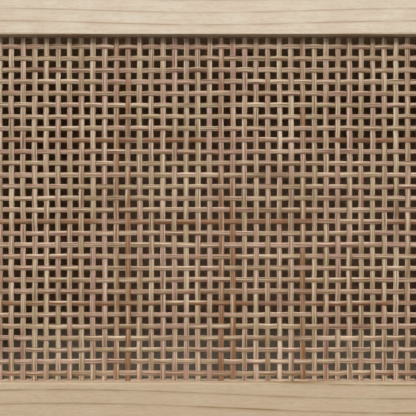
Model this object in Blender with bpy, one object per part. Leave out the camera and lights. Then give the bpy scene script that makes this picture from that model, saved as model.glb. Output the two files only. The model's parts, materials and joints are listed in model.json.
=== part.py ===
"""TV cabinet of pine: an open niche between two cupboard bays, each closed by a hinged cane door.

Metres, +Z up. The front faces -Y, and the origin lies on the floor under the middle of the outline.
Every piece is one object; the pieces of a door hang from an empty on that door's hinge axis.
"""

import math

import bmesh
import bpy
from mathutils import Matrix, Vector

# Carcass
CABINET_WIDTH = 1.500
CARCASS_DEPTH = 0.400
BAY_HEIGHT = 0.284
NICHE_WIDTH = 0.460
BOARD = 0.020
ARRIS = 0.001
FIT_GAP = 0.0003
TONGUE_THICKNESS = 0.008
TONGUE_LENGTH = 0.008
TONGUE_STOP = 0.020

# Back panel, in grooves all round, and the ways for cables
BACK_THICKNESS = 0.004
BACK_INSET = 0.012
BACK_GROOVE = 0.004
CABLE_HOLE_RADIUS = 0.031
CABLE_HOLE_RISE = 0.072
GROMMET_WALL = 0.004
GROMMET_FLANGE = 0.006
GROMMET_FLANGE_THICKNESS = 0.002
GROMMET_PROUD = 0.003
DIVIDER_HOLE_RADIUS = 0.025
DIVIDER_HOLE_INSET = 0.060
DIVIDER_HOLE_RISE = 0.060

# Shelf of the niche and its pins
SHELF_THICKNESS = 0.018
SHELF_RISE = 0.142
SHELF_SETBACK = 0.012
SHELF_CABLE_GAP = 0.040
SHELF_END_GAP = 0.001
SHELF_PIN_INSET = 0.055
SHELF_PIN_RADIUS = 0.0025
SHELF_PIN_DEPTH = 0.009
SHELF_PEG_RADIUS = 0.0035
SHELF_PEG_LENGTH = 0.009

# Legs and the plates that carry them
LEG_HEIGHT = 0.150
LEG_TOP_RADIUS = 0.022
LEG_FOOT_RADIUS = 0.014
LEG_COLLAR = 0.012
LEG_INSET_X = 0.085
LEG_INSET_Y = 0.065
LEG_PLATE_SIDE = 0.064
LEG_PLATE_THICKNESS = 0.003
LEG_STUD_RADIUS = 0.004
LEG_STUD_LENGTH = 0.024

# Door frames
DOOR_THICKNESS = 0.020
DOOR_GAP = 0.002
STILE_WIDTH = 0.044
RAIL_WIDTH = 0.044
FRAME_ARRIS = 0.0003
DOOR_LIP = 0.005
REBATE = 0.010
TENON_LENGTH = 0.022
TENON_THICKNESS = 0.007
TENON_SHOULDER = 0.006
TENON_REBATE_WALL = 0.004

# Cane panel, as a coarse flat net, and the beads that hold it in the rebate
CANE_THICKNESS = 0.0021
NET_STRAND = 0.0092
NET_GAPS_ACROSS = 18
NET_GAPS_UP = 9

# Knobs and their screws
KNOB_PROJECTION = 0.022
KNOB_RADIUS = 0.0145
KNOB_NECK_RADIUS = 0.0065
KNOB_BASE_RADIUS = 0.009
KNOB_CROWN_RADIUS = 0.0115
KNOB_NECK_DISTANCE = 0.007
KNOB_RIM = 0.0035
KNOB_DOME = 0.0035
KNOB_SCREW_RADIUS = 0.002
KNOB_SCREW_BITE = 0.011
KNOB_SCREW_HEAD_RADIUS = 0.004
KNOB_SCREW_HEAD = 0.0022

# Butt hinges, two to a door
HINGE_HEIGHT = 0.050
HINGE_END_DISTANCE = 0.048
HINGE_LEAF_WIDTH = 0.016
HINGE_LEAF_THICKNESS = 0.0012
KNUCKLE_RADIUS = 0.0025
HINGE_PIN_RADIUS = 0.00125
HINGE_PIN_CLEARANCE = 0.0002
HINGE_PIN_HEAD_RADIUS = 0.0021
HINGE_PIN_HEAD = 0.0012

# Magnetic catches and their strike plates
CATCH_WIDTH = 0.040
CATCH_DEPTH = 0.014
CATCH_HEIGHT = 0.013
CATCH_NOSE_WIDTH = 0.028
CATCH_NOSE_HEIGHT = 0.008
CATCH_NOSE_LENGTH = 0.002
STRIKE_WIDTH = 0.036
STRIKE_HEIGHT = 0.010
STRIKE_THICKNESS = 0.0012

# Facets of the round pieces, and the distance within which two points are one
LEG_SIDES = 24
HOLE_SIDES = 32
SMALL_SIDES = 12
SAME_POINT = 1e-6

# Faces of the carcass that the other pieces are placed from
HALF_WIDTH = CABINET_WIDTH / 2
BAY_OUTER_X = HALF_WIDTH - BOARD
NICHE_X = NICHE_WIDTH / 2
BAY_INNER_X = NICHE_X + BOARD
BAY_WIDTH = BAY_OUTER_X - BAY_INNER_X
FRONT_Y = -(CARCASS_DEPTH - KNOB_PROJECTION) / 2
BACK_Y = FRONT_Y + CARCASS_DEPTH
BACK_PANEL_REAR_Y = BACK_Y - BACK_INSET
BACK_PANEL_FRONT_Y = BACK_PANEL_REAR_Y - BACK_THICKNESS
FLOOR_Z = LEG_HEIGHT + BOARD
CEILING_Z = FLOOR_Z + BAY_HEIGHT
TOP_Z = CEILING_Z + BOARD
DIVIDER_REAR_Y = BACK_PANEL_FRONT_Y - FIT_GAP

# Leaves of a hinge lie side by side in the gap at the hinge stile, with their barrel before the front
HINGE_GAP = 2 * HINGE_LEAF_THICKNESS + 3 * FIT_GAP
AXIS_FROM_WALL = HINGE_GAP / 2
AXIS_DEPTH = -(KNUCKLE_RADIUS + FIT_GAP)


def finish(name, colour, roughness, metallic=0.0):
    """A Principled material."""
    material = bpy.data.materials.new(name)
    material.use_nodes = True
    shader = material.node_tree.nodes["Principled BSDF"]
    shader.inputs["Base Color"].default_value = (*colour, 1.0)
    shader.inputs["Roughness"].default_value = roughness
    shader.inputs["Metallic"].default_value = metallic
    return material


def part(name, bm, material, origin, parent=None):
    """Makes a named object of a mesh drawn in world space, with its own origin there."""
    home = Vector(origin)
    bm.transform(Matrix.Translation(-home))
    bmesh.ops.recalc_face_normals(bm, faces=bm.faces[:])
    mesh = bpy.data.meshes.new(name)
    bm.to_mesh(mesh)
    bm.free()
    mesh.materials.append(material)
    mesh.shade_smooth()
    mesh.set_sharp_from_angle(angle=math.radians(30))
    obj = bpy.data.objects.new(name, mesh)
    bpy.context.scene.collection.objects.link(obj)
    obj.parent = parent
    obj.location = home - (parent.location if parent else Vector())
    return obj


def helper(name, bm, parent=None):
    """A shape that only cuts or joins another object, and isn't a piece itself."""
    obj = part(name, bm, HELPER, (0.0, 0.0, 0.0), parent)
    obj.hide_render = True
    obj.display_type = "WIRE"
    return obj


def combine(obj, operation, tool):
    """Adds a Boolean that cuts the tool's shape from the object, or joins it on."""
    modifier = obj.modifiers.new(tool.name, "BOOLEAN")
    modifier.operation = operation
    modifier.object = tool


def add_box(bm, corner, opposite):
    """A box between two opposite corners."""
    middle = (Vector(corner) + Vector(opposite)) / 2
    size = Vector(abs(a - b) for a, b in zip(corner, opposite))
    bmesh.ops.create_cube(bm, size=1.0, matrix=Matrix.LocRotScale(middle, None, size))


def boxes(*pairs):
    """One mesh with a box for each pair of opposite corners."""
    bm = bmesh.new()
    for corner, opposite in pairs:
        add_box(bm, corner, opposite)
    return bm


def soften(bm, axes, width=ARRIS):
    """Takes the sharp arris off the edges along the given axes that lie on the mesh's outermost sides."""
    low = [min(vert.co[axis] for vert in bm.verts) for axis in range(3)]
    high = [max(vert.co[axis] for vert in bm.verts) for axis in range(3)]

    def outermost(vert, axis):
        return min(abs(vert.co[axis] - low[axis]), abs(vert.co[axis] - high[axis])) < SAME_POINT

    def chosen(edge):
        first, second = edge.verts
        run = [axis for axis in range(3) if abs(first.co[axis] - second.co[axis]) > SAME_POINT]
        if len(run) != 1 or run[0] not in axes:
            return False
        across = [axis for axis in range(3) if axis != run[0]]
        return all(outermost(vert, axis) for vert in edge.verts for axis in across)

    edges = [edge for edge in bm.edges if chosen(edge)]
    bmesh.ops.bevel(bm, geom=edges, offset=width, segments=1, profile=0.5, affect="EDGES")


def draw_tongue(bm, axis, outward, corner, opposite, length):
    """Draws a tongue or tenon out of an end face: its cross-section fills the two corners across axis."""
    def facing(face):
        return face.normal[axis] * outward

    bm.normal_update()
    end = max(bm.faces, key=lambda face: (round(facing(face), 3), facing(face) * face.calc_area()))
    bmesh.ops.inset_region(bm, faces=[end], thickness=FIT_GAP)
    middle = end.calc_center_median()
    for vert in end.verts:
        for across in {0, 1, 2} - {axis}:
            sides = sorted((corner[across], opposite[across]))
            vert.co[across] = sides[vert.co[across] > middle[across]]
    drawn = bmesh.ops.extrude_face_region(bm, geom=[end])["geom"]
    bmesh.ops.delete(bm, geom=[end], context="FACES_ONLY")
    shift = Vector()
    shift[axis] = outward * length
    bmesh.ops.translate(bm, vec=shift, verts=[item for item in drawn if isinstance(item, bmesh.types.BMVert)])


def turned(profile, place, axis, sides, ring=False):
    """A turned solid: (radius, distance along the axis) points spun about an axis that starts at place."""
    bm = bmesh.new()
    points = [bm.verts.new((radius, 0.0, along)) for radius, along in profile]
    ends = points[1:] + points[:1] if ring else points[1:]
    for first, second in zip(points, ends):
        bm.edges.new((first, second))
    geometry = bm.verts[:] + bm.edges[:]
    bmesh.ops.spin(bm, geom=geometry, cent=(0, 0, 0), axis=(0, 0, 1), angle=math.tau, steps=sides)
    bmesh.ops.remove_doubles(bm, verts=bm.verts[:], dist=SAME_POINT)
    turn = Vector((0, 0, 1)).rotation_difference(Vector(axis)).to_matrix().to_4x4()
    bm.transform(Matrix.Translation(Vector(place)) @ turn)
    bmesh.ops.recalc_face_normals(bm, faces=bm.faces[:])
    return bm


def rod(radius, length, place, axis, sides):
    """A plain round rod."""
    return turned([(0.0, length), (radius, length), (radius, 0.0), (0.0, 0.0)], place, axis, sides)


def joined(*meshes):
    """Several meshes as one, still separate bodies, to cut with."""
    whole = bmesh.new()
    for bm in meshes:
        scratch = bpy.data.meshes.new("scratch")
        bm.to_mesh(scratch)
        bm.free()
        whole.from_mesh(scratch)
        bpy.data.meshes.remove(scratch)
    return whole


def upright_tongues(x, rear):
    """The (x, y) corners of an upright's tongues, which stop short of its front and rear edges."""
    half = TONGUE_THICKNESS / 2
    return (x - half, FRONT_Y + TONGUE_STOP), (x + half, rear - TONGUE_STOP)


def build_upright(name, x, rear):
    """A side panel or divider, with a stopped tongue along its top and bottom edges."""
    low_z = FLOOR_Z + FIT_GAP
    high_z = CEILING_Z - FIT_GAP
    bm = boxes(((x - BOARD / 2, FRONT_Y, low_z), (x + BOARD / 2, rear, high_z)))
    corner, opposite = upright_tongues(x, rear)
    for outward, z in ((-1, low_z), (1, high_z)):
        draw_tongue(bm, 2, outward, (*corner, z), (*opposite, z), TONGUE_LENGTH)
    soften(bm, {2})
    return part(name, bm, PINE, (x, (FRONT_Y + rear) / 2, (low_z + high_z) / 2))


def build_carcass():
    """Top, bottom, uprights and back panel, joined by tongues and grooves."""
    side_x = HALF_WIDTH - BOARD / 2
    divider_x = NICHE_X + BOARD / 2
    uprights = ((-side_x, BACK_Y), (side_x, BACK_Y), (-divider_x, DIVIDER_REAR_Y), (divider_x, DIVIDER_REAR_Y))
    groove_front_y = BACK_PANEL_FRONT_Y - FIT_GAP
    groove_rear_y = BACK_PANEL_REAR_Y + FIT_GAP
    groove_x = BAY_OUTER_X + BACK_GROOVE + FIT_GAP

    for name, low_z, inner_z, inward in (
        ("bottom_panel", LEG_HEIGHT, FLOOR_Z, -1),
        ("top_panel", CEILING_Z, CEILING_Z, 1),
    ):
        bm = boxes(((-HALF_WIDTH, FRONT_Y, low_z), (HALF_WIDTH, BACK_Y, low_z + BOARD)))
        soften(bm, {0, 1, 2})
        panel = part(name, bm, PINE, (0.0, (FRONT_Y + BACK_Y) / 2, low_z + BOARD / 2))
        outside_z = inner_z - inward * ARRIS
        tongue_z = inner_z + inward * TONGUE_LENGTH
        back_z = inner_z + inward * (BACK_GROOVE + FIT_GAP)
        grooves = [((-groove_x, groove_front_y, outside_z), (groove_x, groove_rear_y, back_z))]
        for x, rear in uprights:
            (low_x, low_y), (high_x, high_y) = upright_tongues(x, rear)
            grooves.append((
                (low_x - FIT_GAP, low_y - FIT_GAP, outside_z),
                (high_x + FIT_GAP, high_y + FIT_GAP, tongue_z),
            ))
        combine(panel, "DIFFERENCE", helper(f"{name}_grooves", boxes(*grooves)))

    for side, hand in ((-1, "left"), (1, "right")):
        panel = build_upright(f"{hand}_side_panel", side * side_x, BACK_Y)
        tall = TONGUE_LENGTH + ARRIS
        inside = (side * (BAY_OUTER_X - ARRIS), groove_front_y, FLOOR_Z - tall)
        bottom = (side * groove_x, groove_rear_y, CEILING_Z + tall)
        combine(panel, "DIFFERENCE", helper(f"{hand}_side_groove", boxes((inside, bottom))))

    for side, hand in ((-1, "left"), (1, "right")):
        divider = build_upright(f"{hand}_divider", side * divider_x, DIVIDER_REAR_Y)
        through = rod(
            DIVIDER_HOLE_RADIUS,
            BOARD + 2 * ARRIS,
            (side * (NICHE_X - ARRIS), DIVIDER_REAR_Y - DIVIDER_HOLE_INSET, FLOOR_Z + DIVIDER_HOLE_RISE),
            (side, 0, 0),
            HOLE_SIDES,
        )
        sockets = [
            rod(
                SHELF_PIN_RADIUS + FIT_GAP,
                SHELF_PIN_DEPTH + FIT_GAP + ARRIS,
                (side * (NICHE_X - ARRIS), y, SHELF_PIN_Z),
                (side, 0, 0),
                SMALL_SIDES,
            )
            for y in SHELF_PIN_Y
        ]
        combine(divider, "DIFFERENCE", helper(f"{hand}_divider_holes", joined(through, *sockets)))

    half = BAY_OUTER_X + BACK_GROOVE
    low_z = FLOOR_Z - BACK_GROOVE
    high_z = CEILING_Z + BACK_GROOVE
    bm = boxes(((-half, BACK_PANEL_FRONT_Y, low_z), (half, BACK_PANEL_REAR_Y, high_z)))
    back = part("back_panel", bm, HARDBOARD, (0.0, BACK_PANEL_FRONT_Y, (low_z + high_z) / 2))
    holes = [
        rod(
            CABLE_HOLE_RADIUS,
            BACK_THICKNESS + 2 * ARRIS,
            (0.0, BACK_PANEL_FRONT_Y - ARRIS, z),
            (0, 1, 0),
            HOLE_SIDES,
        )
        for _, z in CABLE_HOLES
    ]
    combine(back, "DIFFERENCE", helper("cable_holes", joined(*holes)))


def build_grommets():
    """A plastic bush in each cable hole, pushed in from behind, with its flange on the panel's rear."""
    sleeve = CABLE_HOLE_RADIUS - 2 * FIT_GAP
    bore = sleeve - GROMMET_WALL
    flange = CABLE_HOLE_RADIUS + GROMMET_FLANGE
    seat = BACK_THICKNESS + FIT_GAP
    profile = [
        (bore, -GROMMET_PROUD),
        (sleeve, -GROMMET_PROUD),
        (sleeve, seat),
        (flange, seat),
        (flange - GROMMET_FLANGE_THICKNESS / 2, seat + GROMMET_FLANGE_THICKNESS),
        (bore, seat + GROMMET_FLANGE_THICKNESS),
    ]
    for name, z in CABLE_HOLES:
        place = (0.0, BACK_PANEL_FRONT_Y, z)
        part(f"{name}_cable_grommet", turned(profile, place, (0, 1, 0), HOLE_SIDES, ring=True), PLASTIC, place)


def build_shelf():
    """The shelf of the niche, set back at the front and short at the rear, on four pins."""
    half = NICHE_X - SHELF_END_GAP
    low_y = FRONT_Y + SHELF_SETBACK
    low_z = FLOOR_Z + SHELF_RISE
    bm = boxes(((-half, low_y, low_z), (half, SHELF_REAR_Y, low_z + SHELF_THICKNESS)))
    soften(bm, {0, 1, 2})
    part("media_shelf", bm, PINE, (0.0, (low_y + SHELF_REAR_Y) / 2, low_z + SHELF_THICKNESS / 2))

    profile = [
        (0.0, SHELF_PIN_DEPTH),
        (SHELF_PIN_RADIUS, SHELF_PIN_DEPTH),
        (SHELF_PIN_RADIUS, -FIT_GAP),
        (SHELF_PEG_RADIUS, -FIT_GAP),
        (SHELF_PEG_RADIUS, -SHELF_PEG_LENGTH),
        (0.0, -SHELF_PEG_LENGTH),
    ]
    for side, hand in ((-1, "left"), (1, "right")):
        for end, y in zip(("front", "rear"), SHELF_PIN_Y):
            place = (side * NICHE_X, y, SHELF_PIN_Z)
            part(f"{hand}_{end}_shelf_pin", turned(profile, place, (side, 0, 0), SMALL_SIDES), STEEL, place)


def build_legs():
    """Four turned legs, each screwed on the stud of a steel plate under the bottom panel."""
    plate_low = LEG_HEIGHT - FIT_GAP - LEG_PLATE_THICKNESS
    leg_top = plate_low - FIT_GAP
    bore_bottom = leg_top - LEG_STUD_LENGTH - FIT_GAP
    bore = LEG_STUD_RADIUS + 2 * FIT_GAP
    profile = [
        (0.0, bore_bottom),
        (bore, bore_bottom),
        (bore, leg_top),
        (LEG_TOP_RADIUS - ARRIS, leg_top),
        (LEG_TOP_RADIUS, leg_top - ARRIS),
        (LEG_TOP_RADIUS, leg_top - LEG_COLLAR),
        (LEG_FOOT_RADIUS, ARRIS),
        (LEG_FOOT_RADIUS - ARRIS, 0.0),
        (0.0, 0.0),
    ]
    for side, hand in ((-1, "left"), (1, "right")):
        for end, y in (("front", FRONT_Y + LEG_INSET_Y), ("rear", BACK_Y - LEG_INSET_Y)):
            x = side * (HALF_WIDTH - LEG_INSET_X)
            part(f"{hand}_{end}_leg", turned(profile, (x, y, 0.0), (0, 0, 1), LEG_SIDES), PINE, (x, y, 0.0))
            half = LEG_PLATE_SIDE / 2
            bm = boxes(((x - half, y - half, plate_low), (x + half, y + half, plate_low + LEG_PLATE_THICKNESS)))
            plate = part(f"{hand}_{end}_leg_plate", bm, STEEL, (x, y, plate_low))
            stud_length = FIT_GAP + LEG_STUD_LENGTH + LEG_PLATE_THICKNESS / 2
            stud = rod(LEG_STUD_RADIUS, stud_length, (x, y, leg_top - LEG_STUD_LENGTH), (0, 0, 1), SMALL_SIDES)
            combine(plate, "UNION", helper(f"{hand}_{end}_leg_stud", stud))


def flat_net(low, high, opening_low, opening_high, front, back):
    """A flat net in the XZ plane, with equal square gaps over the opening and a plain selvedge round them."""
    def cuts(start, end, count, outer_start, outer_end):
        pitch = (end - start) / count
        gaps = [(start + i * pitch + NET_STRAND / 2, start + (i + 1) * pitch - NET_STRAND / 2) for i in range(count)]
        return [outer_start, *(cut for gap in gaps for cut in gap), outer_end]

    columns = cuts(opening_low[0], opening_high[0], NET_GAPS_ACROSS, low[0], high[0])
    rows = cuts(opening_low[1], opening_high[1], NET_GAPS_UP, low[1], high[1])
    bm = bmesh.new()
    grid = [[bm.verts.new((x, front, z)) for x in columns] for z in rows]
    for row, (lower, upper) in enumerate(zip(grid, grid[1:])):
        for column in range(len(columns) - 1):
            if row % 2 and column % 2:
                continue
            bm.faces.new((lower[column], lower[column + 1], upper[column + 1], upper[column]))
    drawn = bmesh.ops.extrude_face_region(bm, geom=bm.faces[:])["geom"]
    verts = [item for item in drawn if isinstance(item, bmesh.types.BMVert)]
    bmesh.ops.translate(bm, vec=(0.0, back - front, 0.0), verts=verts)
    return bm


def hinge_leaf(x_low, x_high, middle_z, knuckles, axis_x):
    """A hinge leaf's plate with its tabs, its knuckles to join on, and the bore for the pin."""
    low = middle_z - HINGE_HEIGHT / 2
    high = middle_z + HINGE_HEIGHT / 2
    axis_y = FRONT_Y + AXIS_DEPTH
    outline = [(FRONT_Y + HINGE_LEAF_WIDTH, low), (FRONT_Y, low)]
    for start, end in knuckles:
        tab_low = start + FIT_GAP
        tab_high = end - FIT_GAP
        outline += [(FRONT_Y, tab_low), (axis_y, tab_low), (axis_y, tab_high), (FRONT_Y, tab_high)]
    outline += [(FRONT_Y, high), (FRONT_Y + HINGE_LEAF_WIDTH, high)]
    plate = bmesh.new()
    face = plate.faces.new([plate.verts.new((x_low, y, z)) for y, z in outline])
    drawn = bmesh.ops.extrude_face_region(plate, geom=[face])["geom"]
    verts = [item for item in drawn if isinstance(item, bmesh.types.BMVert)]
    bmesh.ops.translate(plate, vec=(x_high - x_low, 0.0, 0.0), verts=verts)
    rolled = joined(*(
        rod(KNUCKLE_RADIUS, end - start, (axis_x, axis_y, start), (0, 0, 1), SMALL_SIDES) for start, end in knuckles
    ))
    reach = HINGE_HEIGHT + 2 * ARRIS
    bore = rod(
        HINGE_PIN_RADIUS + HINGE_PIN_CLEARANCE, reach, (axis_x, axis_y, low - ARRIS), (0, 0, 1), SMALL_SIDES
    )
    return plate, rolled, bore


def build_hinge(hand, level, side, middle_z, pivot):
    """A butt hinge: the outer knuckles belong to the carcass, the middle one to the door, on one pin."""
    def from_wall(distance):
        return side * (BAY_OUTER_X - distance)

    axis_x = from_wall(AXIS_FROM_WALL)
    axis_y = FRONT_Y + AXIS_DEPTH
    low = middle_z - HINGE_HEIGHT / 2
    high = middle_z + HINGE_HEIGHT / 2
    third = HINGE_HEIGHT / 3
    carcass_knuckles = [(low, low + third), (high - third, high)]
    door_knuckles = [(low + third + FIT_GAP, high - third - FIT_GAP)]
    near = FIT_GAP + HINGE_LEAF_THICKNESS
    leaves = (
        (f"{hand}_{level}_hinge_leaf", FIT_GAP, near, carcass_knuckles, None),
        (f"{hand}_door_{level}_hinge_leaf", near + FIT_GAP, HINGE_GAP - FIT_GAP, door_knuckles, pivot),
    )
    for name, start, end, knuckles, parent in leaves:
        plate, rolled, bore = hinge_leaf(from_wall(start), from_wall(end), middle_z, knuckles, axis_x)
        leaf = part(name, plate, BRASS, (axis_x, axis_y, middle_z), parent)
        combine(leaf, "UNION", helper(f"{name}_knuckles", rolled, parent))
        combine(leaf, "DIFFERENCE", helper(f"{name}_bore", bore, parent))

    seat = HINGE_HEIGHT / 2 + FIT_GAP
    profile = [
        (0.0, seat + HINGE_PIN_HEAD),
        (HINGE_PIN_HEAD_RADIUS / 2, seat + HINGE_PIN_HEAD),
        (HINGE_PIN_HEAD_RADIUS, seat + HINGE_PIN_HEAD / 2),
        (HINGE_PIN_HEAD_RADIUS, seat),
        (HINGE_PIN_RADIUS, seat),
        (HINGE_PIN_RADIUS, -HINGE_HEIGHT / 2),
        (0.0, -HINGE_HEIGHT / 2),
    ]
    place = (axis_x, axis_y, middle_z)
    part(f"{hand}_{level}_hinge_pin", turned(profile, place, (0, 0, 1), SMALL_SIDES), BRASS, place)


def build_door(side, hand):
    """One door: a mortised frame, its cane in a rebate, beads, knob, strike plate, hinges and catch."""
    low_z = FLOOR_Z + DOOR_GAP
    high_z = CEILING_Z - DOOR_GAP
    middle_z = (low_z + high_z) / 2
    hinge_edge = HINGE_GAP
    lock_edge = BAY_WIDTH - DOOR_GAP
    opening = (hinge_edge + STILE_WIDTH, lock_edge - STILE_WIDTH)
    opening_z = (low_z + RAIL_WIDTH, high_z - RAIL_WIDTH)
    name = f"{hand}_door"

    def at(distance, depth, z):
        return Vector((side * (BAY_OUTER_X - distance), FRONT_Y + depth, z))

    pivot = bpy.data.objects.new(f"{name}_pivot", None)
    pivot.location = at(AXIS_FROM_WALL, AXIS_DEPTH, middle_z)
    bpy.context.scene.collection.objects.link(pivot)

    rebate = helper(
        f"{name}_rebate",
        boxes((
            at(opening[0] - REBATE, DOOR_LIP, opening_z[0] - REBATE),
            at(opening[1] + REBATE, DOOR_THICKNESS + ARRIS, opening_z[1] + REBATE),
        )),
        pivot,
    )

    # Rails, with a stub tenon on each end that stays clear of the rebate
    tenon_depth = (DOOR_THICKNESS - TENON_THICKNESS) / 2
    tenon_height = RAIL_WIDTH - TENON_SHOULDER - TENON_REBATE_WALL - REBATE
    rails = (
        ("bottom_rail", low_z, opening_z[0], low_z + TENON_SHOULDER),
        ("top_rail", opening_z[1], high_z, high_z - TENON_SHOULDER - tenon_height),
    )
    mortises = {"hinge_stile": [], "lock_stile": []}
    for rail_name, rail_low, rail_high, tenon_low in rails:
        start = at(opening[0] + FIT_GAP, 0.0, rail_low)
        end = at(opening[1] - FIT_GAP, DOOR_THICKNESS, rail_high)
        bm = boxes((start, end))
        tenon_high = tenon_low + tenon_height
        corner = at(0.0, tenon_depth, tenon_low)
        opposite = at(0.0, tenon_depth + TENON_THICKNESS, tenon_high)
        for outward in (-1, 1):
            draw_tongue(bm, 0, outward, corner, opposite, TENON_LENGTH)
        soften(bm, {0}, FRAME_ARRIS)
        rail = part(f"{name}_{rail_name}", bm, PINE, (start + end) / 2, pivot)
        combine(rail, "DIFFERENCE", rebate)
        for stile_name, edge, inward in (("hinge_stile", opening[0], -1), ("lock_stile", opening[1], 1)):
            mouth = at(edge - inward * ARRIS, tenon_depth - FIT_GAP, tenon_low - FIT_GAP)
            bottom = at(
                edge + inward * TENON_LENGTH,
                tenon_depth + TENON_THICKNESS + FIT_GAP,
                tenon_high + FIT_GAP,
            )
            mortises[stile_name].append((mouth, bottom))

    # Stiles, mortised for the rails, the lock stile also bored for the knob's screw
    knob_distance = lock_edge - STILE_WIDTH / 2
    stiles = (
        ("hinge_stile", hinge_edge, opening[0]),
        ("lock_stile", opening[1], lock_edge),
    )
    for stile_name, near, far in stiles:
        start = at(near, 0.0, low_z)
        end = at(far, DOOR_THICKNESS, high_z)
        bm = boxes((start, end))
        soften(bm, {2}, FRAME_ARRIS)
        stile = part(f"{name}_{stile_name}", bm, PINE, (start + end) / 2, pivot)
        combine(stile, "DIFFERENCE", rebate)
        cut = boxes(*mortises[stile_name])
        if stile_name == "lock_stile":
            bored = rod(
                KNOB_SCREW_RADIUS + FIT_GAP,
                DOOR_THICKNESS + 2 * ARRIS,
                at(knob_distance, -ARRIS, middle_z),
                (0, 1, 0),
                SMALL_SIDES,
            )
            cut = joined(cut, bored)
        combine(stile, "DIFFERENCE", helper(f"{name}_{stile_name}_mortises", cut, pivot))

    # Cane in the rebate, and the four beads behind it
    cane_front = DOOR_LIP + FIT_GAP
    cane_back = cane_front + CANE_THICKNESS
    room = REBATE - FIT_GAP
    corner = at(opening[0] - room, cane_front, opening_z[0] - room)
    opposite = at(opening[1] + room, cane_back, opening_z[1] + room)
    xs = sorted((corner.x, opposite.x))
    opening_xs = sorted(at(edge, 0.0, 0.0).x for edge in opening)
    net = flat_net(
        (xs[0], corner.z),
        (xs[1], opposite.z),
        (opening_xs[0], opening_z[0]),
        (opening_xs[1], opening_z[1]),
        corner.y,
        opposite.y,
    )
    part(f"{name}_cane_panel", net, CANE, (corner + opposite) / 2, pivot)
    bead_front = cane_back + FIT_GAP
    beads = (
        ("top_bead", opening[0] - room, opening[1] + room, opening_z[1], opening_z[1] + room, 0),
        ("bottom_bead", opening[0] - room, opening[1] + room, opening_z[0] - room, opening_z[0], 0),
        ("hinge_bead", opening[0] - room, opening[0], opening_z[0] + FIT_GAP, opening_z[1] - FIT_GAP, 2),
        ("lock_bead", opening[1], opening[1] + room, opening_z[0] + FIT_GAP, opening_z[1] - FIT_GAP, 2),
    )
    for bead_name, near, far, bead_low, bead_high, length_axis in beads:
        start = at(near, bead_front, bead_low)
        end = at(far, DOOR_THICKNESS, bead_high)
        bm = boxes((start, end))
        soften(bm, {length_axis})
        part(f"{name}_{bead_name}", bm, PINE, (start + end) / 2, pivot)

    # Knob on the lock stile, held by a screw from behind
    seat = FIT_GAP
    bore = KNOB_SCREW_RADIUS + FIT_GAP
    bore_end = KNOB_SCREW_BITE + 2 * FIT_GAP
    crown = KNOB_PROJECTION - KNOB_DOME
    profile = [
        (0.0, bore_end),
        (bore, bore_end),
        (bore, seat),
        (KNOB_BASE_RADIUS, seat),
        (KNOB_BASE_RADIUS, seat + ARRIS),
        (KNOB_NECK_RADIUS, KNOB_NECK_DISTANCE),
        (KNOB_RADIUS, crown - KNOB_RIM),
        (KNOB_RADIUS, crown),
        (KNOB_CROWN_RADIUS, KNOB_PROJECTION - ARRIS),
        (0.0, KNOB_PROJECTION),
    ]
    place = at(knob_distance, 0.0, middle_z)
    part(f"{name}_knob", turned(profile, place, (0, -1, 0), LEG_SIDES), PINE, place, pivot)
    head = DOOR_THICKNESS + FIT_GAP
    profile = [
        (0.0, -KNOB_SCREW_BITE),
        (KNOB_SCREW_RADIUS, -KNOB_SCREW_BITE),
        (KNOB_SCREW_RADIUS, head),
        (KNOB_SCREW_HEAD_RADIUS, head),
        (KNOB_SCREW_HEAD_RADIUS, head + KNOB_SCREW_HEAD / 2),
        (KNOB_SCREW_HEAD_RADIUS / 2, head + KNOB_SCREW_HEAD),
        (0.0, head + KNOB_SCREW_HEAD),
    ]
    part(f"{name}_knob_screw", turned(profile, place, (0, 1, 0), SMALL_SIDES), STEEL, place, pivot)

    for level, z in (("upper", high_z - HINGE_END_DISTANCE), ("lower", low_z + HINGE_END_DISTANCE)):
        build_hinge(hand, level, side, z, pivot)

    # Magnetic catch under the top, and the strike plate that it holds
    strike_front = DOOR_THICKNESS + FIT_GAP
    nose_front = strike_front + STRIKE_THICKNESS + FIT_GAP
    body_front = nose_front + CATCH_NOSE_LENGTH
    catch_z = CEILING_Z - FIT_GAP - CATCH_HEIGHT / 2
    half = STRIKE_WIDTH / 2
    start = at(knob_distance - half, strike_front, catch_z - STRIKE_HEIGHT / 2)
    end = at(knob_distance + half, strike_front + STRIKE_THICKNESS, catch_z + STRIKE_HEIGHT / 2)
    part(f"{name}_strike_plate", boxes((start, end)), STEEL, (start + end) / 2, pivot)
    half = CATCH_WIDTH / 2
    start = at(knob_distance - half, body_front, catch_z - CATCH_HEIGHT / 2)
    end = at(knob_distance + half, body_front + CATCH_DEPTH, catch_z + CATCH_HEIGHT / 2)
    bm = boxes((start, end))
    half = CATCH_NOSE_WIDTH / 2
    corner = at(knob_distance - half, 0.0, catch_z - CATCH_NOSE_HEIGHT / 2)
    opposite = at(knob_distance + half, 0.0, catch_z + CATCH_NOSE_HEIGHT / 2)
    draw_tongue(bm, 1, -1, corner, opposite, CATCH_NOSE_LENGTH)
    part(f"{hand}_magnetic_catch", bm, PLASTIC, (start + end) / 2)


# Places that several pieces share
SHELF_REAR_Y = BACK_PANEL_FRONT_Y - SHELF_CABLE_GAP
SHELF_PIN_Y = (FRONT_Y + SHELF_SETBACK + SHELF_PIN_INSET, SHELF_REAR_Y - SHELF_PIN_INSET)
SHELF_PIN_Z = FLOOR_Z + SHELF_RISE - FIT_GAP - SHELF_PEG_RADIUS
CABLE_HOLES = (
    ("lower", FLOOR_Z + CABLE_HOLE_RISE),
    ("upper", CEILING_Z - (BAY_HEIGHT - SHELF_RISE - SHELF_THICKNESS) / 2),
)

for old in list(bpy.data.objects):
    bpy.data.objects.remove(old)

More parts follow.
